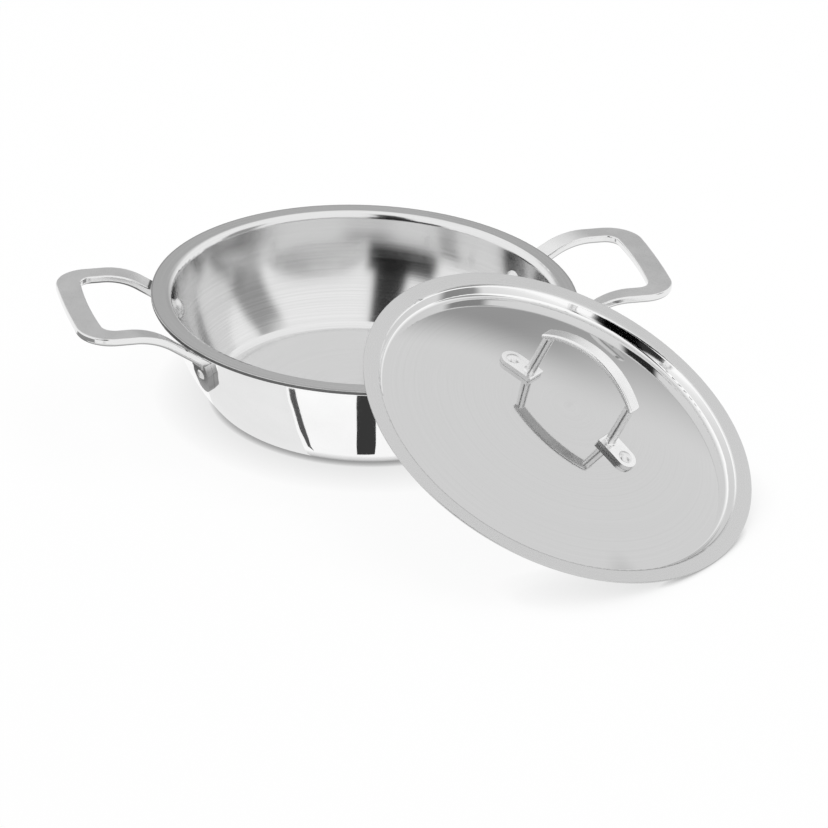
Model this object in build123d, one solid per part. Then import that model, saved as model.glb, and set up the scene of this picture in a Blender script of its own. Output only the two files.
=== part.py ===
from build123d import *
from math import acos, asin, atan2, cos, degrees, hypot, radians, sin, sqrt
import os

# A two-handled kadai of bonded sheet with its lid leaning on the rim.
# Millimetres, +Z up, origin at the centre of the base on the floor, X through both handles.

# General
overrun = 5.0  # how far a cutting shape runs past what it cuts
seat_gap = 0.05  # clearance between pieces that are riveted tight
whole_turn = 360.0
seam_turn = 90.0  # turns a round piece so that its seam misses the holes
level_share = 0.25  # a face counts as top or underside when it faces this far up or down

# Pan, sizes of its outer face
rim_radius = 130.0
pan_height = 68.5
base_radius = 84.0
wall_radius = 120.0  # where the wall meets the flange
wall_lean = 7.0  # degrees off upright under the flange
knuckle_radius = 12.0  # between base and wall
neck_radius = 1.4  # under the flange
outer_ply = 0.5
core_ply = 1.8
inner_ply = 0.5
rim_edge_round = 0.25
sheet = outer_ply + core_ply + inner_ply

# Pan handles
handle_reach = 186.0  # from the pan axis to the outer edge of the grip
handle_rise = 8.7  # top of the grip above the rim
bar_thickness = 5.2
grip_width = 14.5
leg_width = 12.4
leg_centre = 43.0  # from the handle's middle line to the middle of a leg
grip_bow = 2.2  # how far the middle of the grip stands out
grip_outer_corner = 21.0
grip_inner_corner = 8.0
bend_start = 160.0  # radius where the flat top begins to fall
bend_radius = 41.0
leg_slope = 35.0  # degrees
lug_thickness = 4.2
lug_width = 14.6
lug_top_drop = 12.5  # below the rim
lug_tip_drop = 33.5
lug_tip_radius = 5.2
lug_blend = 4.0  # between the leg's underside and the lug
bar_top_round = 0.9
bar_under_round = 2.3

# Rivets through the pan wall
rivet_drop = 20.5  # below the rim
rivet_shank = 6.6
rivet_head_width = 13.4
rivet_head_height = 3.0
rivet_tail_height = 1.3
rivet_gap = 0.05  # between shank and hole, all round

# Lid panel, heights from the top of its flange
lid_radius = 124.0
lid_sheet = 1.2
lid_flange_width = 10.0
lid_wall_inset = 3.4  # how far the wall leans in between the flange and the trough
lid_wall_depth = 7.2
lid_dome_rise = 22.0  # from the trough to the crown
lid_shoulder_radius = 1.2
lid_trough_radius = 2.4
lid_edge_round = 0.4
lid_flange_inner = lid_radius - lid_flange_width
lid_wall_foot = lid_flange_inner - lid_wall_inset

# Lid handle, heights from the top of the lid's flange
lid_grip_height = 59.0
lid_corner_height = 45.5
lid_leg_centre = 32.0
lid_leg_width = 6.4  # the legs are round rods
lid_grip_width = 9.4
lid_grip_thickness = 3.6
lid_grip_overhang = 0.3  # of the grip's end past the leg
lid_leg_sink = 1.8  # from the grip's corner down to the end of the leg inside it
lid_lug_length = 24.8
lid_lug_width = 14.0
lid_lug_thickness = 2.8
lid_neck_radius = 1.6  # where a leg spreads into its lug
lid_corner_round = 2.2
lid_inner_corner_round = 1.2
lid_bar_round = 1.1
lid_lug_round = 0.7

# Rivets through the lid
lid_rivet_centre = 44.5
lid_rivet_shank = 5.0
lid_rivet_head_width = 8.6
lid_rivet_head_height = 1.9
lid_rivet_foot_width = 9.0
lid_rivet_foot_height = 1.6

# How the lid leans
lid_distance = 176.0  # from the pan axis to the lid's centre, in plan
lid_heading = -64.0  # degrees, where the lid's centre lies round the pan
lean_heading = -50.5  # degrees, the way the lid's face is turned
lid_rest_gap = 0.3  # between the lid and the rim
least_lean = 12.0  # degrees, the search starts here
most_lean = 45.0
lean_steps = 40
rim_samples = 240


def arc_point(centre, radius, angle):
    # a point on an arc whose direction of travel climbs at this angle
    return (centre[0] + radius * sin(angle), centre[1] - radius * cos(angle))


# The wall is one arc, tangent to the knuckle and leaning as stated at its top.
top_angle = radians(90.0 - wall_lean)
neck_start = (wall_radius, pan_height - sheet - neck_radius * (1 - cos(top_angle)))
knuckle_centre = (base_radius, knuckle_radius)
reach_in = neck_start[0] - knuckle_centre[0]
reach_up = neck_start[1] - knuckle_centre[1]
wall_bow = (reach_in**2 + reach_up**2 - knuckle_radius**2) / (
    2 * (reach_in * sin(top_angle) - reach_up * cos(top_angle) - knuckle_radius)
)
wall_centre = (
    neck_start[0] - wall_bow * sin(top_angle),
    neck_start[1] + wall_bow * cos(top_angle),
)
join_angle = atan2(
    knuckle_centre[0] - wall_centre[0], wall_centre[1] - knuckle_centre[1]
)
neck_centre = (
    neck_start[0] + neck_radius * sin(top_angle),
    neck_start[1] - neck_radius * cos(top_angle),
)


def wall_arcs(depth):
    """The pan's section line, this deep inside its outer face, from the axis to the rim."""
    knuckle = knuckle_radius - depth
    wall = wall_bow - depth
    neck = neck_radius + depth
    foot = (base_radius, depth)
    joint = arc_point(knuckle_centre, knuckle, join_angle)
    top = arc_point(wall_centre, wall, top_angle)
    flange = (neck_centre[0], neck_centre[1] + neck)
    rim = (rim_radius, flange[1])
    knuckle_mid = arc_point(knuckle_centre, knuckle, join_angle / 2)
    wall_mid = arc_point(wall_centre, wall, (join_angle + top_angle) / 2)
    neck_mid = (
        neck_centre[0] - neck * sin(top_angle / 2),
        neck_centre[1] + neck * cos(top_angle / 2),
    )
    return {
        "axis": (0, depth),
        "rim": rim,
        "lines": [((0, depth), foot), (flange, rim)],
        "arcs": [
            (foot, knuckle_mid, joint),
            (joint, wall_mid, top),
            (top, neck_mid, flange),
        ],
    }


def section_edges(run):
    lines = [Line(a, b) for a, b in run["lines"]]
    arcs = [ThreePointArc(a, b, c) for a, b, c in run["arcs"]]
    return lines + arcs


def spin(face):
    """Turns a section drawn as radius and height about the Z axis."""
    return revolve(Plane.XZ * face, Axis.Z, whole_turn)


def sheet_layer(depth_out, depth_in):
    """The pan's sheet between two depths inside its outer face."""
    out = wall_arcs(depth_out)
    inside = wall_arcs(depth_in)
    ends = [Line(out["axis"], inside["axis"]), Line(out["rim"], inside["rim"])]
    return make_face(section_edges(out) + section_edges(inside) + ends)


def wall_angle(drop):
    """The climb of the wall's outer face this far below the rim."""
    height = pan_height - drop
    return acos((wall_centre[1] - height) / wall_bow)


def rivet_plane(side, hand):
    """Lies on the wall's outer face at a rivet, facing out of the pan."""
    climb = wall_angle(rivet_drop)
    radius, height = arc_point(wall_centre, wall_bow, climb)
    turn = asin(leg_centre / radius) * hand
    across = (side * cos(turn), sin(turn))
    spot = (radius * across[0], radius * across[1], height)
    facing = (sin(climb) * across[0], sin(climb) * across[1], -cos(climb))
    return Plane(origin=spot, x_dir=(-across[1], across[0], 0), z_dir=facing)


sides = {"left": -1, "right": 1}
hands = (-1, 1)


def pan_holes():
    depth = sheet + lug_thickness + overrun
    cutter = Cylinder(rivet_shank / 2 + rivet_gap, 2 * depth)
    return [rivet_plane(side, hand) * cutter for side in sides.values() for hand in hands]


def ply(depth_out, depth_in, edge):
    """One layer of the pan's sheet; edge picks the rim corner that is eased."""
    section = sheet_layer(depth_out, depth_in)
    if edge is not None:
        corner = section.vertices().sort_by(Axis.X).filter_by(
            lambda v: abs(v.X - rim_radius) < seat_gap
        )
        section = fillet(corner.sort_by(Axis.Y)[edge], rim_edge_round)
    return spin(section) - pan_holes()


def grip_outline(reach, half_width, corner):
    """A plan outline from inside the wall to a bowed grip, its corners rounded."""
    start = wall_radius / 2
    shoulder = reach - grip_bow
    edges = [
        Line((start, -half_width), (shoulder, -half_width)),
        ThreePointArc((shoulder, -half_width), (reach, 0), (shoulder, half_width)),
        Line((shoulder, half_width), (start, half_width)),
        Line((start, half_width), (start, -half_width)),
    ]
    face = make_face(edges)
    corners = face.vertices().filter_by(lambda v: abs(v.X - shoulder) < seat_gap)
    return fillet(corners, corner)


def bar_section():
    """The handle's side view as radius and height: flat grip, falling leg, blend to the lug."""
    top = pan_height + handle_rise
    far = handle_reach + overrun
    slope = radians(leg_slope)
    hub = (bend_start, top - bend_radius)
    under_bend = bend_radius - bar_thickness
    fall = (cos(slope), sin(slope))

    def on_bend(radius, share):
        angle = slope * share
        return (hub[0] - radius * sin(angle), hub[1] + radius * cos(angle))

    top_fall = on_bend(bend_radius, 1)
    under_fall = on_bend(under_bend, 1)
    lug_face = arc_point(wall_centre, wall_bow + lug_thickness, wall_angle(lug_top_drop))[0]
    inner = wall_radius - sheet - overrun
    inner_top = (inner, top_fall[1] - (top_fall[0] - inner) * fall[1] / fall[0])
    # the blend is an arc tangent to the leg's underside and to the lug's outer face
    tip = (lug_face, under_fall[1] - (under_fall[0] - lug_face) * fall[1] / fall[0])
    turn = radians(90.0) - slope
    setback = lug_blend * (1 - cos(turn)) / sin(turn)
    blend_in = (tip[0] + setback * fall[0], tip[1] + setback * fall[1])
    blend_out = (tip[0], tip[1] - setback)
    blend_hub = (blend_out[0] + lug_blend, blend_out[1])
    middle = turn / 2
    blend_mid = (
        blend_hub[0] - lug_blend * cos(middle),
        blend_hub[1] + lug_blend * sin(middle),
    )
    inner_low = (inner, blend_out[1])
    edges = [
        Line((far, top), (bend_start, top)),
        ThreePointArc((bend_start, top), on_bend(bend_radius, 1 / 2), top_fall),
        Line(top_fall, inner_top),
        Line(inner_top, inner_low),
        Line(inner_low, blend_out),
        ThreePointArc(blend_out, blend_mid, blend_in),
        Line(blend_in, under_fall),
        ThreePointArc(
            under_fall, on_bend(under_bend, 1 / 2), (bend_start, top - bar_thickness)
        ),
        Line((bend_start, top - bar_thickness), (far, top - bar_thickness)),
        Line((far, top - bar_thickness), (far, top)),
    ]
    return make_face(edges)


def outside_of_pan():
    """Everything within the handles' reach that lies outside the pan's outer face."""
    line = wall_arcs(-seat_gap)
    far = handle_reach + overrun
    high = pan_height + handle_rise + overrun
    low = -seat_gap
    beyond = (far, low)
    edges = section_edges(line)[1:]
    foot = line["arcs"][0][0]
    edges += [
        Line(foot, beyond),
        Line(beyond, (far, high)),
        Line((far, high), (rim_radius, high)),
        Line((rim_radius, high), line["rim"]),
    ]
    return spin(make_face(edges))


def lug_shell():
    """A skin of the lug's thickness over the pan's wall."""
    start = wall_angle(lug_tip_drop + overrun)
    stop = top_angle
    near = wall_bow + seat_gap
    far = wall_bow + lug_thickness
    middle = (start + stop) / 2
    corners = [arc_point(wall_centre, r, a) for r, a in ((near, start), (near, stop))]
    others = [arc_point(wall_centre, r, a) for r, a in ((far, stop), (far, start))]
    edges = [
        ThreePointArc(corners[0], arc_point(wall_centre, near, middle), corners[1]),
        Line(corners[1], others[0]),
        ThreePointArc(others[0], arc_point(wall_centre, far, middle), others[1]),
        Line(others[1], corners[0]),
    ]
    return spin(make_face(edges))


def lug_leaf(side, hand):
    """The lug's outline as a prism along its rivet: full at the top, narrowing to a round tip."""
    plane = rivet_plane(side, hand)
    upright = Plane(origin=plane.origin, x_dir=plane.x_dir, z_dir=plane.z_dir)
    up_sign = 1 if upright.y_dir.Z > 0 else -1
    top = (rivet_drop - lug_top_drop) * up_sign
    tip = (rivet_drop - lug_tip_drop) * up_sign
    half = lug_width / 2
    tip_centre = tip + lug_tip_radius * up_sign
    shoulder = (top + tip_centre) / 2
    edges = [
        Line((-half, shoulder), (-leg_width / 2, top)),
        Line((-leg_width / 2, top), (leg_width / 2, top)),
        Line((leg_width / 2, top), (half, shoulder)),
        Line((half, shoulder), (lug_tip_radius, tip_centre)),
        ThreePointArc((lug_tip_radius, tip_centre), (0, tip), (-lug_tip_radius, tip_centre)),
        Line((-lug_tip_radius, tip_centre), (-half, shoulder)),
    ]
    face = make_face(edges)
    bulge = face.vertices().filter_by(lambda v: abs(abs(v.X) - half) < seat_gap)
    face = fillet(bulge, half)
    return extrude(upright * face, lug_thickness + overrun, both=True)


def eased_edges(shape, sign):
    """The outer edges of a bar's top (1) or underside (-1), without its end at the wall."""
    faces = shape.faces().filter_by(lambda f: f.normal_at().Z * sign > level_share)
    edges = [edge for face in faces for edge in face.edges()]

    def is_border(edge):
        twins = [other for other in edges if other.is_same(edge)]
        return len(twins) == 1 and edge.center().X > wall_radius

    return [edge for edge in edges if is_border(edge)]


def handle(side):
    outer = grip_outline(handle_reach, leg_centre + leg_width / 2, grip_outer_corner)
    inner = grip_outline(
        handle_reach - grip_width, leg_centre - leg_width / 2, grip_inner_corner
    )
    band = extrude(outer - inner, pan_height + handle_rise + overrun)
    bar = band & spin(bar_section())
    bar = fillet(eased_edges(bar, 1), bar_top_round)
    bar = fillet(eased_edges(bar, -1), bar_under_round)
    if side < 0:
        bar = mirror(bar, Plane.YZ)
    bar = bar & outside_of_pan()
    lugs = [lug_shell() & lug_leaf(side, hand) for hand in hands]
    hole = Cylinder(rivet_shank / 2 + rivet_gap, 2 * lug_tip_drop)
    return bar + lugs - [rivet_plane(side, hand) * hole for hand in hands]


def button(width, height, bed):
    """A domed disc standing on the XY plane, with this much more of it below."""
    ball = (width**2 / 4 + height**2) / (2 * height)
    base = (Align.CENTER, Align.CENTER, Align.MIN)
    disc = Pos(0, 0, -bed) * Cylinder(width / 2, bed + height, align=base)
    return disc & Pos(0, 0, height - ball) * Sphere(ball)


def pan_rivets(side):
    """Two rivets: a wide head inside the pan, the shank, and a small dome on the lug."""
    base = (Align.CENTER, Align.CENTER, Align.MIN)
    start = sheet + rivet_head_height / 2
    shank = Pos(0, 0, -start) * Cylinder(rivet_shank / 2, start + lug_thickness, align=base)
    tail = Pos(0, 0, lug_thickness) * button(rivet_shank, rivet_tail_height, lug_thickness / 2)
    head = Pos(0, 0, -sheet) * Rot(180, 0, 0) * button(
        rivet_head_width, rivet_head_height, sheet / 2
    )
    wall = spin(sheet_layer(0, sheet + seat_gap))
    rivets = []
    for hand in hands:
        plane = rivet_plane(side, hand)
        rivets.append((plane * head - wall) + plane * shank + plane * tail)
    return rivets


# The lid's dome is a ball cap; its centre lies on the lid's axis below the flange.
lid_crown = lid_dome_rise - lid_wall_depth
dome_radius = (lid_wall_foot**2 + lid_dome_rise**2) / (2 * lid_dome_rise)
dome_centre = lid_crown - dome_radius
wall_slope = atan2(lid_wall_depth, lid_flange_inner - lid_wall_foot)


def lid_section():
    """The lid panel's section: flange, short wall, trough and dome, one thickness all along."""
    under_dome = dome_radius - lid_sheet
    along = (cos(wall_slope), sin(wall_slope))
    down = (sin(wall_slope) * lid_sheet, -cos(wall_slope) * lid_sheet)
    shift = -lid_sheet * (1 - cos(wall_slope)) / sin(wall_slope)
    shoulder = (lid_flange_inner, 0)
    under_shoulder = (
        lid_flange_inner + down[0] + shift * along[0],
        down[1] + shift * along[1],
    )
    foot = (lid_wall_foot, -lid_wall_depth)
    # the under foot is where the wall's underside meets the dome's underside
    start = (foot[0] + down[0], foot[1] + down[1] - dome_centre)
    half = start[0] * along[0] + start[1] * along[1]
    rest = start[0] ** 2 + start[1] ** 2 - under_dome**2
    step = -half + sqrt(half**2 - rest)
    under_foot = (start[0] + step * along[0], start[1] + step * along[1] + dome_centre)

    def on_dome(radius, reach):
        return (reach, dome_centre + sqrt(radius**2 - reach**2))

    edges = [
        Line((lid_radius, 0), shoulder),
        Line(shoulder, foot),
        ThreePointArc(foot, on_dome(dome_radius, lid_wall_foot / 2), (0, lid_crown)),
        Line((0, lid_crown), (0, lid_crown - lid_sheet)),
        ThreePointArc(
            (0, lid_crown - lid_sheet),
            on_dome(under_dome, lid_wall_foot / 2),
            under_foot,
        ),
        Line(under_foot, under_shoulder),
        Line(under_shoulder, (lid_radius, -lid_sheet)),
        Line((lid_radius, -lid_sheet), (lid_radius, 0)),
    ]
    face = make_face(edges)
    rounds = [
        (shoulder, lid_shoulder_radius + lid_sheet),
        (under_shoulder, lid_shoulder_radius),
        (foot, lid_trough_radius),
        (under_foot, lid_trough_radius + lid_sheet),
        ((lid_radius, 0), lid_edge_round),
        ((lid_radius, -lid_sheet), lid_edge_round),
    ]
    for spot, radius in rounds:
        near = face.vertices().sort_by_distance(Vector(spot[0], spot[1], 0))[0]
        face = fillet(near, radius)
    return face


def lid_rivet_plane(hand):
    """Lies on the dome's upper face at a lid rivet, facing out of the dome."""
    tilt = asin(lid_rivet_centre / dome_radius)
    facing = (hand * sin(tilt), 0, cos(tilt))
    spot = (facing[0] * dome_radius, 0, dome_centre + facing[2] * dome_radius)
    return Plane(origin=spot, x_dir=(0, 1, 0), z_dir=facing)


def lid_holes():
    cutter = Cylinder(lid_rivet_shank / 2 + rivet_gap, 2 * lid_grip_height)
    return [lid_rivet_plane(hand) * cutter for hand in hands]


def lid_panel():
    return Rot(0, 0, seam_turn) * spin(lid_section()) - lid_holes()


def dome_ball(lift):
    """A ball that lies this much outside the dome's upper face."""
    return Pos(0, 0, dome_centre) * Rot(0, 0, seam_turn) * Sphere(dome_radius + lift)


def lid_grip():
    """The arched strap between the tops of the legs, all its edges rounded."""
    end = lid_leg_centre + lid_leg_width / 2 + lid_grip_overhang
    under = lid_corner_height - lid_grip_thickness
    edges = [
        Line((end, under), (end, lid_corner_height)),
        ThreePointArc((end, lid_corner_height), (0, lid_grip_height), (-end, lid_corner_height)),
        Line((-end, lid_corner_height), (-end, under)),
        ThreePointArc((-end, under), (0, lid_grip_height - lid_grip_thickness), (end, under)),
    ]
    side_view = make_face(edges)
    for level, radius in (
        (lid_corner_height, lid_corner_round),
        (under, lid_inner_corner_round),
    ):
        corners = side_view.vertices().filter_by(lambda v: abs(v.Y - level) < seat_gap)
        side_view = fillet(corners, radius)
    half = lid_grip_width / 2
    strap = extrude(Plane.XZ * side_view, half, both=True)
    borders = strap.edges().filter_by(lambda edge: abs(abs(edge.center().Y) - half) < seat_gap)
    return fillet(borders, lid_bar_round)


def lid_leg():
    """The right leg, a round rod that spreads at its foot to meet the lug."""
    rod = lid_leg_width / 2
    foot = rod + lid_neck_radius
    lug_top = dome_radius + lid_lug_thickness
    seat = dome_centre + sqrt(lug_top**2 - (lid_leg_centre + foot) ** 2)
    top = lid_corner_height - lid_leg_sink
    slant = lid_neck_radius * sqrt(1 / 2)
    neck_mid = (foot - slant, seat + lid_neck_radius - slant)
    edges = [
        Line((0, 0), (foot, 0)),
        Line((foot, 0), (foot, seat)),
        ThreePointArc((foot, seat), neck_mid, (rod, seat + lid_neck_radius)),
        Line((rod, seat + lid_neck_radius), (rod, top)),
        Line((rod, top), (0, top)),
        Line((0, top), (0, 0)),
    ]
    return Pos(lid_leg_centre, 0, 0) * spin(make_face(edges))


def lid_lug():
    """The right ear, which follows the dome from the leg to a round end."""
    start = lid_leg_centre - lid_leg_width / 2 - lid_neck_radius
    end = start + lid_lug_length - lid_lug_width / 2
    base = (Align.MIN, Align.CENTER)
    plan = Pos(start, 0) * Rectangle(end - start, lid_lug_width, align=base)
    plan += Pos(end, 0) * Circle(lid_lug_width / 2)
    ear = extrude(plan, lid_grip_height) & dome_ball(lid_lug_thickness)
    ear -= dome_ball(seat_gap)
    top = ear.faces().sort_by(Axis.Z)[-1]
    return fillet(top.edges(), lid_lug_round)


def lid_handle():
    leg = lid_leg() - dome_ball(seat_gap)
    side = leg + lid_lug() - lid_holes()
    return lid_grip() + side + mirror(side, Plane.YZ)


def lid_rivets():
    """Two rivets: a domed head on the lug, the shank, and a flat foot under the dome."""
    top = lid_lug_thickness
    base = (Align.CENTER, Align.CENTER, Align.MIN)
    start = lid_sheet + lid_rivet_foot_height / 2
    length = start + top + lid_rivet_head_height / 2
    shank = Pos(0, 0, -start) * Cylinder(lid_rivet_shank / 2, length, align=base)
    head = Pos(0, 0, top) * button(lid_rivet_head_width, lid_rivet_head_height, top / 2)
    foot = Pos(0, 0, -lid_sheet) * Rot(180, 0, 0) * button(
        lid_rivet_foot_width, lid_rivet_foot_height, lid_sheet / 2
    )
    rivets = []
    for hand in hands:
        plane = lid_rivet_plane(hand)
        seated_head = plane * head - dome_ball(top + seat_gap)
        seated_foot = plane * foot & dome_ball(-lid_sheet - seat_gap)
        rivets.append(seated_head + plane * shank + seated_foot)
    return rivets


def lid_place(lean):
    """The lid's frame at this lean: low edge on the floor, local X up the slope."""
    facing = radians(lean_heading)
    bearing = radians(lid_heading)
    height = (
        (lid_radius - lid_edge_round) * sin(lean)
        + (lid_sheet - lid_edge_round) * cos(lean)
        + lid_edge_round
    )
    centre = (lid_distance * cos(bearing), lid_distance * sin(bearing), height)
    normal = (sin(lean) * cos(facing), sin(lean) * sin(facing), cos(lean))
    upslope = (-cos(lean) * cos(facing), -cos(lean) * sin(facing), sin(lean))
    return Plane(origin=centre, x_dir=upslope, z_dir=normal)


def rim_room(lean):
    """The least room between the rim's top edge and the underside of the lid's dome."""
    place = lid_place(lean)
    rooms = []
    for step in range(rim_samples):
        turn = radians(whole_turn * step / rim_samples)
        spot = Vector(rim_radius * cos(turn), rim_radius * sin(turn), pan_height)
        local = place.to_local_coords(spot)
        reach = hypot(local.X, local.Y)
        if reach < lid_wall_foot:
            under = dome_centre + sqrt((dome_radius - lid_sheet) ** 2 - reach**2)
            rooms.append(under - local.Z)
    return min(rooms)


def rest_lean():
    """Halves the range of leans until the lid just clears the rim."""
    low = radians(least_lean)
    high = radians(most_lean)
    for _ in range(lean_steps):
        middle = (low + high) / 2
        if rim_room(middle) < lid_rest_gap:
            low = middle
        else:
            high = middle
    return high


def build_nodes():
    nodes = {
        "pan_outer_ply": ply(0, outer_ply, 0),
        "pan_core_ply": ply(outer_ply, outer_ply + core_ply, None),
        "pan_inner_ply": ply(outer_ply + core_ply, sheet, -1),
    }
    for name, side in sides.items():
        nodes[name + "_handle"] = handle(side)
        nodes[name + "_handle_rivets"] = Compound(children=pan_rivets(side))
    place = lid_place(rest_lean())
    nodes["lid_panel"] = place * lid_panel()
    nodes["lid_handle"] = place * lid_handle()
    nodes["lid_handle_rivets"] = Compound(children=[place * one for one in lid_rivets()])
    return nodes


if __name__ == "__main__":
    os.makedirs("parts", exist_ok=True)
    print("lid leans by", round(degrees(rest_lean()), 2), "degrees")
    for name, shape in build_nodes().items():
        export_step(shape, "parts/" + name + ".step")
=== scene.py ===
from math import cos, radians, sin

import bpy
from mathutils import Matrix, Vector

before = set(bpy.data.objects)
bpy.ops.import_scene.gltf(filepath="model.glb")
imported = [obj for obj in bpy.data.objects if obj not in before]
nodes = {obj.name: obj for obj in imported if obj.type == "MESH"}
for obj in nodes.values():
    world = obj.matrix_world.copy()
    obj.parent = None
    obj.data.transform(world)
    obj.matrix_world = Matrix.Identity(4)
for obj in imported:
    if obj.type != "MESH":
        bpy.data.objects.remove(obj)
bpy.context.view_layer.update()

# The camera, found from the rim, the handles and the lid in the photograph

sensor = 36.0
lens = 226.9
camera_place = Vector((-0.7699, -2.7475, 1.4525))
camera_heading = radians(-16.314)
camera_pitch = radians(27.159)
camera_roll = radians(2.564)
far_clip = 100


def add_camera():
    ahead = Vector((
        -sin(camera_heading) * cos(camera_pitch),
        cos(camera_heading) * cos(camera_pitch),
        -sin(camera_pitch),
    ))
    right = Vector((cos(camera_heading), sin(camera_heading), 0))
    up = right.cross(ahead)
    rolled_right = cos(camera_roll) * right + sin(camera_roll) * up
    rolled_up = -sin(camera_roll) * right + cos(camera_roll) * up
    data = bpy.data.cameras.new("camera")
    data.sensor_width = sensor
    data.lens = lens
    data.clip_end = far_clip
    camera = bpy.data.objects.new("camera", data)
    turn = Matrix((rolled_right, rolled_up, -ahead)).transposed()
    camera.matrix_world = Matrix.Translation(camera_place) @ turn.to_4x4()
    bpy.context.scene.collection.objects.link(camera)
    bpy.context.scene.camera = camera


# Where the pan and the lid are; the lid's place is read from its own mesh

rim_share = 0.97  # points further out than this share of the reach belong to the rim


def rim_plane(mesh):
    """The centre of a thin round plate and the direction it faces, from its rim."""
    points = [v.co for v in mesh.vertices]
    middle = sum(points, Vector()) / len(points)
    reach = max((p - middle).length for p in points)
    rim = [p for p in points if (p - middle).length > reach * rim_share]
    side = max(rim, key=lambda p: p.x)
    across = max(rim, key=lambda p: (p - side).length)
    third = max(rim, key=lambda p: (p - side).cross(across - side).length)
    normal = (across - side).cross(third - side).normalized()
    if normal.z < 0:
        normal.negate()
    return (side + across) / 2, normal


lid_centre, lid_normal = rim_plane(nodes["lid_panel"].data)
pan_centre = Vector((0, 0, 0))
pan_normal = Vector((0, 0, 1))


# Node building

class Nodes:
    """A node tree with short names for the steps that everything here shares."""

    def __init__(self, tree):
        self.tree = tree

    def add(self, kind, **settings):
        node = self.tree.nodes.new(kind)
        for name, value in settings.items():
            setattr(node, name, value)
        return node

    def join(self, value, socket):
        if isinstance(value, bpy.types.NodeSocket):
            self.tree.links.new(value, socket)
        else:
            socket.default_value = value

    def maths(self, operation, *values):
        node = self.add("ShaderNodeMath", operation=operation)
        for value, socket in zip(values, node.inputs):
            self.join(value, socket)
        return node.outputs[0]

    def spread(self, value, low, high, to_low, to_high, **settings):
        node = self.add("ShaderNodeMapRange", **settings)
        self.join(value, node.inputs["Value"])
        ends = {"From Min": low, "From Max": high, "To Min": to_low, "To Max": to_high}
        for name, end in ends.items():
            self.join(end, node.inputs[name])
        return node.outputs["Result"]

    def blend(self, share, first, second):
        """first where share is 0, second where it is 1, for numbers."""
        node = self.add("ShaderNodeMix", data_type="FLOAT")
        self.join(share, node.inputs[0])
        self.join(first, node.inputs[2])
        self.join(second, node.inputs[3])
        return node.outputs[0]

    def grey(self, level):
        """A neutral colour of the given level."""
        node = self.add("ShaderNodeCombineColor")
        for socket in node.inputs:
            self.join(level, socket)
        return node.outputs[0]

    def parts(self, vector):
        """The X, Y and Z of a vector."""
        node = self.add("ShaderNodeSeparateXYZ")
        self.join(vector, node.inputs[0])
        return node.outputs

    def mix_shaders(self, share, first, second):
        node = self.add("ShaderNodeMixShader")
        for value, socket in zip((share, first, second), node.inputs):
            self.join(value, socket)
        return node.outputs[0]

    def seen_directly(self):
        """1 for rays from the camera and for reflections, 0 for light falling on things."""
        path = self.add("ShaderNodeLightPath").outputs
        reflected = self.maths("MAXIMUM", path["Is Glossy Ray"], path["Is Transmission Ray"])
        return self.maths("MAXIMUM", path["Is Camera Ray"], reflected)


noise_span = (0.3, 0.7)  # where nearly all values of a noise lie
# brushing: how far it stretches reflections, how rough its grooves are and how they wander
brushed_stretch = 0.6
groove_rough = 0.6
wander_scale = 9
wander = 3


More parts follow.
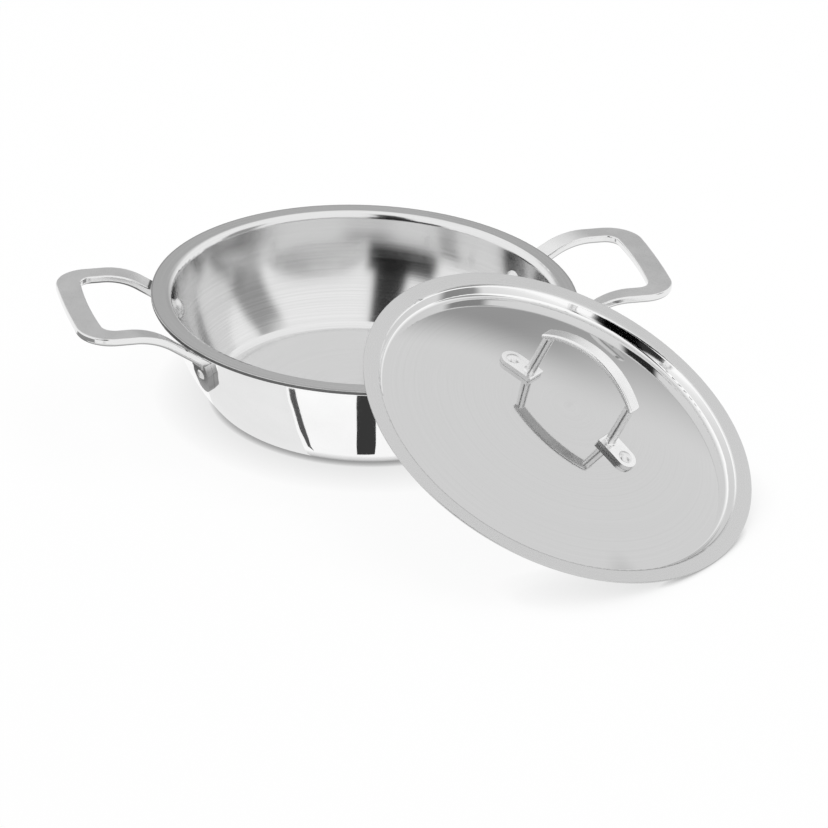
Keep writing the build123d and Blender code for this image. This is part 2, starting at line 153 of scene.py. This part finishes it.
class Shader(Nodes):
    """A new metal, with the steps that the finishes share."""

    def __init__(self, name):
        self.material = bpy.data.materials.new(name)
        self.material.use_nodes = True
        super().__init__(self.material.node_tree)
        self.bsdf = self.tree.nodes["Principled BSDF"]
        self.bsdf.inputs["Metallic"].default_value = 1.0
        coordinates = self.add("ShaderNodeTexCoord")
        self.position = coordinates.outputs["Object"]
        self.normal = coordinates.outputs["Normal"]

    def finish(self, level, roughness):
        self.join(self.grey(level), self.bsdf.inputs["Base Color"])
        self.join(roughness, self.bsdf.inputs["Roughness"])

    def vector(self, operation, *values):
        node = self.add("ShaderNodeVectorMath", operation=operation)
        for value, socket in zip(values, node.inputs):
            self.join(value, socket)
        return node.outputs["Value"] if operation in ("DOT_PRODUCT", "LENGTH") else node.outputs["Vector"]

    def noise(self, place, scale, detail, rough=0.5):
        node = self.add("ShaderNodeTexNoise")
        self.join(place, node.inputs["Vector"])
        node.inputs["Scale"].default_value = scale
        node.inputs["Detail"].default_value = detail
        node.inputs["Roughness"].default_value = rough
        return node.outputs["Fac"]

    def vary(self, noise, low, high):
        """From low to high as the noise rises."""
        return self.spread(noise, *noise_span, low, high)

    def radius(self, centre, normal):
        """Distance from the axis through centre along normal."""
        return self.vector("LENGTH", self.spoke(centre, normal))

    def spoke(self, centre, normal):
        """The part of the place that points away from the axis."""
        away = self.vector("SUBTRACT", self.position, centre)
        along = self.vector("DOT_PRODUCT", away, normal)
        node = self.add("ShaderNodeVectorMath", operation="SCALE")
        self.join(normal, node.inputs[0])
        self.join(along, node.inputs["Scale"])
        return self.vector("SUBTRACT", away, node.outputs[0])

    def rings(self, centre, normal, pitch):
        """Fine grooves round the axis, as brushing on a lathe leaves them, from 0 to 1."""
        radius = self.radius(centre, normal)
        place = self.add("ShaderNodeCombineXYZ")
        self.join(self.maths("DIVIDE", radius, pitch), place.inputs["X"])
        around = self.noise(self.position, wander_scale, detail=1)
        self.join(self.maths("MULTIPLY", around, wander), place.inputs["Y"])
        return self.noise(place.outputs[0], scale=1, detail=3, rough=groove_rough)

    def bump(self, height, distance, strength):
        node = self.add("ShaderNodeBump")
        self.join(height, node.inputs["Height"])
        node.inputs["Distance"].default_value = distance
        node.inputs["Strength"].default_value = strength
        self.join(node.outputs[0], self.bsdf.inputs["Normal"])

    def brushed_round(self, centre, normal):
        """Stretches reflections across grooves that run round the axis."""
        along = self.vector("CROSS_PRODUCT", normal, self.spoke(centre, normal))
        face = self.add("ShaderNodeNewGeometry").outputs["Normal"]
        across = self.vector("NORMALIZE", self.vector("CROSS_PRODUCT", face, along))
        self.join(across, self.bsdf.inputs["Tangent"])
        self.bsdf.inputs["Anisotropic"].default_value = brushed_stretch


# The finishes; pairs are grey levels from dark to light, roughness from smooth to rough,
# or the two ends of a change from one zone to the next

def satin_bowl():
    """Circular brushed inside of the pan and its flange, with painted shade as a darker line along the
    rim's outer edge.
    """
    groove_pitch = 0.00045
    groove_levels = (0.70, 0.88)
    smooth = 0.10
    rough = (0.16, 0.24)
    # painted shade: a darker line at the rim's outer corner, set by radius
    painted_rim_shade = (0.1288, 0.1292)
    painted_rim_shade_share = 0.74
    s = Shader("satin_bowl")
    rings = s.rings(pan_centre, pan_normal, groove_pitch)
    cloud = s.noise(s.position, scale=28, detail=3)
    # painted shade darkens the flange past this radius
    edge = s.spread(s.radius(pan_centre, pan_normal), *painted_rim_shade, 1, painted_rim_shade_share)
    level = s.maths("MULTIPLY", s.blend(rings, *groove_levels), edge)
    s.finish(level, s.blend(rings, smooth, s.blend(cloud, *rough)))
    s.brushed_round(pan_centre, pan_normal)
    s.bump(rings, distance=0.00002, strength=0.4)
    return s.material


def mirror_steel(name, level, roughness):
    """Polished all over, with faint clouds and wiping marks."""
    level_change = 0.02
    rougher = 1.8
    s = Shader(name)
    cloud = s.noise(s.position, scale=40, detail=3)
    wipes = s.noise(s.position, scale=900, detail=2)
    s.finish(
        s.vary(cloud, level - level_change, level + level_change),
        s.vary(wipes, roughness, roughness * rougher),
    )
    s.bump(cloud, distance=0.0002, strength=0.05)
    return s.material


def handle_steel():
    """Satin on the faces that look up, polished on the sides, rougher on the lugs; painted shade darkens
    the faces that look down, and a painted dark reflection darkens the lugs.
    """
    upward = (0.75, 0.92)
    painted_shade_downward = (-0.5, -0.2)
    lug_heights = (0.051, 0.058)
    side_level = 0.82
    # painted shade: faces that look down get this dark level
    painted_underside_shade_level = 0.36
    top_levels = (0.70, 0.78)
    # painted dark reflection: the lugs get a low grey level
    painted_lug_reflection_levels = (0.28, 0.38)
    side_rough = 0.08
    top_rough = (0.26, 0.40)
    lug_rough = 0.24
    s = Shader("handle_satin")
    facing = s.parts(s.normal)["Z"]
    top = s.spread(facing, *upward, 0, 1)
    painted_underside_shade = s.spread(facing, *painted_shade_downward, 1, 0)
    lug = s.spread(s.parts(s.position)["Z"], *lug_heights, 1, 0)
    grain = s.noise(s.position, scale=2600, detail=2)
    cloud = s.noise(s.position, scale=60, detail=3)
    # painted shade on the faces that look down
    bar = s.blend(top, s.blend(painted_underside_shade, side_level, painted_underside_shade_level), s.vary(cloud, *top_levels))
    polish = s.blend(top, side_rough, s.vary(grain, *top_rough))
    # painted dark reflection on the lugs below these heights
    s.finish(s.blend(lug, bar, s.vary(cloud, *painted_lug_reflection_levels)), s.blend(lug, polish, lug_rough))
    s.bump(s.maths("MULTIPLY", grain, top), distance=0.00003, strength=0.3)
    return s.material


def lid_steel():
    """Brushed flange, polished wall and a fine turned polish on the domed panel."""
    groove_pitch = 0.0005
    flange_start = (0.1135, 0.1145)
    panel_end = (0.1095, 0.1110)
    wall_level = 0.97
    satin_levels = (0.58, 0.65)
    flange_rough = (0.24, 0.34)
    panel_rough = (0.035, 0.055)
    s = Shader("lid_polish")
    radius = s.radius(lid_centre, lid_normal)
    flange = s.spread(radius, *flange_start, 0, 1)
    panel = s.spread(radius, *panel_end, 1, 0)
    rings = s.rings(lid_centre, lid_normal, groove_pitch)
    satin = s.maths("MAXIMUM", flange, panel)
    s.finish(
        s.blend(satin, wall_level, s.blend(rings, *satin_levels)),
        s.blend(flange, s.vary(rings, *panel_rough), s.vary(rings, *flange_rough)),
    )
    s.brushed_round(lid_centre, lid_normal)
    s.bump(rings, distance=0.00001, strength=0.15)
    return s.material


def lid_handle_steel():
    """Barrel polished all over, a little softer than a mirror."""
    levels = (0.84, 0.90)
    rough = (0.24, 0.32)
    s = Shader("tumbled_steel")
    cloud = s.noise(s.position, scale=90, detail=3)
    grain = s.noise(s.position, scale=2200, detail=2)
    s.finish(s.vary(cloud, *levels), s.vary(grain, *rough))
    s.bump(cloud, distance=0.00005, strength=0.1)
    return s.material


def core_painted_shade():
    """The middle sheet at the trimmed rim, painted near black as the shade line along the rim's edge."""
    # painted shade: a near-black level for the middle sheet's edge
    levels = (0.12, 0.18)
    rough = (0.35, 0.5)
    s = Shader("core_painted_shade")
    grain = s.noise(s.position, scale=1500, detail=3)
    s.finish(s.vary(grain, *levels), s.vary(grain, *rough))
    s.bump(grain, distance=0.00003, strength=0.3)
    return s.material


def dress(names, material):
    for name in names:
        data = nodes[name].data
        data.materials.clear()
        data.materials.append(material)


# The studio

def sheet(name, corners):
    """A flat piece of the stage, and the nodes of its own new material."""
    mesh = bpy.data.meshes.new(name)
    mesh.from_pydata(corners, [], [list(range(len(corners)))])
    obj = bpy.data.objects.new(name, mesh)
    bpy.context.scene.collection.objects.link(obj)
    material = bpy.data.materials.new(name)
    material.use_nodes = True
    mesh.materials.append(material)
    return obj, Nodes(material.node_tree)


def card(name, corners, level):
    """A flat card that only reflections see."""
    obj, n = sheet(name, corners)
    obj.visible_camera = False
    obj.visible_diffuse = False
    obj.visible_shadow = False
    n.tree.nodes.clear()
    glow = n.add("ShaderNodeEmission")
    glow.inputs["Color"].default_value = (level, level, level, 1)
    out = n.add("ShaderNodeOutputMaterial")
    n.join(glow.outputs[0], out.inputs["Surface"])


# Cards on the floor, seen in the polished metal: how light, then the outline in plan
card_lift = 0.0004
floor_cards = {
    "stripe_left": (0.09, [
        (-0.1263, -0.1219), (-0.1060, -0.1091), (-0.0920, -0.1015), (-0.0810, -0.0944), (-0.0709, -0.0876),
        (-0.0636, -0.0837), (-0.0572, -0.0798), (-0.0515, -0.0795), (-0.0557, -0.0813), (-0.0614, -0.0863),
        (-0.0681, -0.0914), (-0.0780, -0.0986), (-0.0890, -0.1065), (-0.1029, -0.1159), (-0.1207, -0.1281),
    ]),
    "stripe_middle": (0.04, [
        (-0.056, -0.178), (-0.051, -0.162), (-0.042, -0.136), (-0.035, -0.116), (-0.030, -0.100),
        (-0.027, -0.092), (-0.016, -0.095), (-0.017, -0.104), (-0.020, -0.120), (-0.024, -0.142),
        (-0.030, -0.168), (-0.034, -0.184),
    ]),
    "under_left": (0.82, [
        (-0.0865, 0.000), (-0.136, 0.000), (-0.136, -0.020), (-0.260, -0.020), (-0.260, -0.190),
        (-0.150, -0.132), (-0.128, -0.119), (-0.107, -0.106), (-0.093, -0.099), (-0.082, -0.092),
        (-0.072, -0.085), (-0.065, -0.081), (-0.059, -0.077), (-0.0535, -0.0745), (-0.048, -0.0725),
        (-0.060, -0.0623), (-0.070, -0.0508), (-0.0813, -0.0296),
    ]),
    "left_front": (0.30, [
        (-0.360, -0.110), (-0.270, -0.110), (-0.270, -0.016), (-0.137, -0.016),
        (-0.137, 0.100), (-0.360, 0.100),
    ]),
}

# Dark flags round the studio, seen in the metal: bearing, half width and soft edge,
# then height and soft top edge, all in degrees, then how much white they take away
flags = {
    "camera_side": (-128, 18, 8, 20, 5, 0.97),
    "camera_wedge": (-122, 8, 6, 60, 20, 0.97),
    "right_gap": (-25, 8, 8, 34, 10, 0.65),
    "back_wall": (74, 12, 30, 24, 20, 0.55),
}
fill_strength = 0.75


def add_world():
    """White for the camera, white with flags for reflections and an even fill for all else."""
    world = bpy.data.worlds.new("world")
    bpy.context.scene.world = world
    world.use_nodes = True
    n = Nodes(world.node_tree)
    n.tree.nodes.clear()
    direction = n.parts(n.add("ShaderNodeTexCoord").outputs["Generated"])

    def fade(value, inside, soft):
        """1 up to inside, falling smoothly to 0 over soft."""
        return n.spread(value, inside, inside + soft, 1, 0, interpolation_type="SMOOTHSTEP")

    level = n.maths("SQRT", n.maths("SUBTRACT", 1, n.maths("MULTIPLY", direction["Z"], direction["Z"])))
    rise = n.maths("ARCSINE", direction["Z"])
    white = 1.0
    for bearing, half_width, side, height, top, depth in flags.values():
        across = n.maths(
            "ADD",
            n.maths("MULTIPLY", direction["X"], cos(radians(bearing))),
            n.maths("MULTIPLY", direction["Y"], sin(radians(bearing))),
        )
        turn = n.maths("ARCCOSINE", n.maths("DIVIDE", across, level))
        cover = n.maths(
            "MULTIPLY",
            fade(turn, radians(half_width), radians(side)),
            fade(rise, radians(height), radians(top)),
        )
        white = n.maths("MULTIPLY", white, n.maths("SUBTRACT", 1, n.maths("MULTIPLY", cover, depth)))
    path = n.add("ShaderNodeLightPath")
    shown = n.maths("MAXIMUM", white, path.outputs["Is Camera Ray"])
    seen = n.add("ShaderNodeBackground")
    n.join(n.grey(shown), seen.inputs["Color"])
    fill = n.add("ShaderNodeBackground")
    fill.inputs["Color"].default_value = (1, 1, 1, 1)
    fill.inputs["Strength"].default_value = fill_strength
    out = n.add("ShaderNodeOutputWorld")
    n.join(n.mix_shaders(n.seen_directly(), fill.outputs[0], seen.outputs[0]), out.inputs["Surface"])


floor_reach = 7
floor_grey = 0.9
floor_rough = 0.8
floor_specular = 0.1
floor_white_share = 0.93
# how far a contact shadow reaches and how dark it gets
close_shadow = (0.004, 0.65)
wide_shadow = (0.030, 0.24)
shadow_samples = 8


def add_floor():
    """A pale floor that is nearly white where it is seen, except near contacts."""
    ends = (-floor_reach, floor_reach)
    corners = [(ends[0], ends[0], 0), (ends[1], ends[0], 0), (ends[1], ends[1], 0), (ends[0], ends[1], 0)]
    n = sheet("floor", corners)[1]
    bsdf = n.tree.nodes["Principled BSDF"]
    bsdf.inputs["Base Color"].default_value = (floor_grey, floor_grey, floor_grey, 1)
    bsdf.inputs["Roughness"].default_value = floor_rough
    bsdf.inputs["Specular IOR Level"].default_value = floor_specular

    def contact_shadow(distance, depth):
        near = n.add("ShaderNodeAmbientOcclusion", samples=shadow_samples)
        near.inputs["Distance"].default_value = distance
        return n.spread(near.outputs["AO"], 0, 1, 1 - depth, 1)

    # reflections see only the close shadow
    path = n.add("ShaderNodeLightPath")
    wide = n.blend(path.outputs["Is Camera Ray"], 1, contact_shadow(*wide_shadow))
    white = n.maths("MULTIPLY", contact_shadow(*close_shadow), wide)
    glow = n.add("ShaderNodeEmission")
    n.join(n.grey(white), glow.inputs["Color"])
    share = n.maths("MULTIPLY", n.seen_directly(), floor_white_share)
    surface = n.mix_shaders(share, bsdf.outputs[0], glow.outputs[0])
    n.join(surface, n.tree.nodes["Material Output"].inputs["Surface"])


lamp_place = Vector((0.3, 0.2, 1.8))
lamp_target = Vector((0, 0, 0.05))
lamp_size = (1.6, 1.2)
lamp_power = 14


def add_lamp():
    data = bpy.data.lights.new("overhead", "AREA")
    data.shape = "RECTANGLE"
    data.size, data.size_y = lamp_size
    data.energy = lamp_power
    lamp = bpy.data.objects.new("overhead", data)
    turn = (lamp_place - lamp_target).to_track_quat("Z", "Y")
    lamp.matrix_world = Matrix.Translation(lamp_place) @ turn.to_matrix().to_4x4()
    lamp.visible_glossy = False
    bpy.context.scene.collection.objects.link(lamp)


add_camera()
bpy.context.scene.view_settings.view_transform = "Standard"
add_world()
add_floor()
add_lamp()
for name, (level, outline) in floor_cards.items():
    card(name, [(x, y, card_lift) for x, y in outline], level)

dress(["pan_inner_ply"], satin_bowl())
dress(["pan_outer_ply"], mirror_steel("polished_shell", level=0.96, roughness=0.045))
dress(["pan_core_ply"], core_painted_shade())
dress(["left_handle", "right_handle"], handle_steel())
dress(["lid_handle"], lid_handle_steel())
dress(
    ["left_handle_rivets", "right_handle_rivets", "lid_handle_rivets"],
    mirror_steel("rivet_polish", level=0.80, roughness=0.22),
)
dress(["lid_panel"], lid_steel())
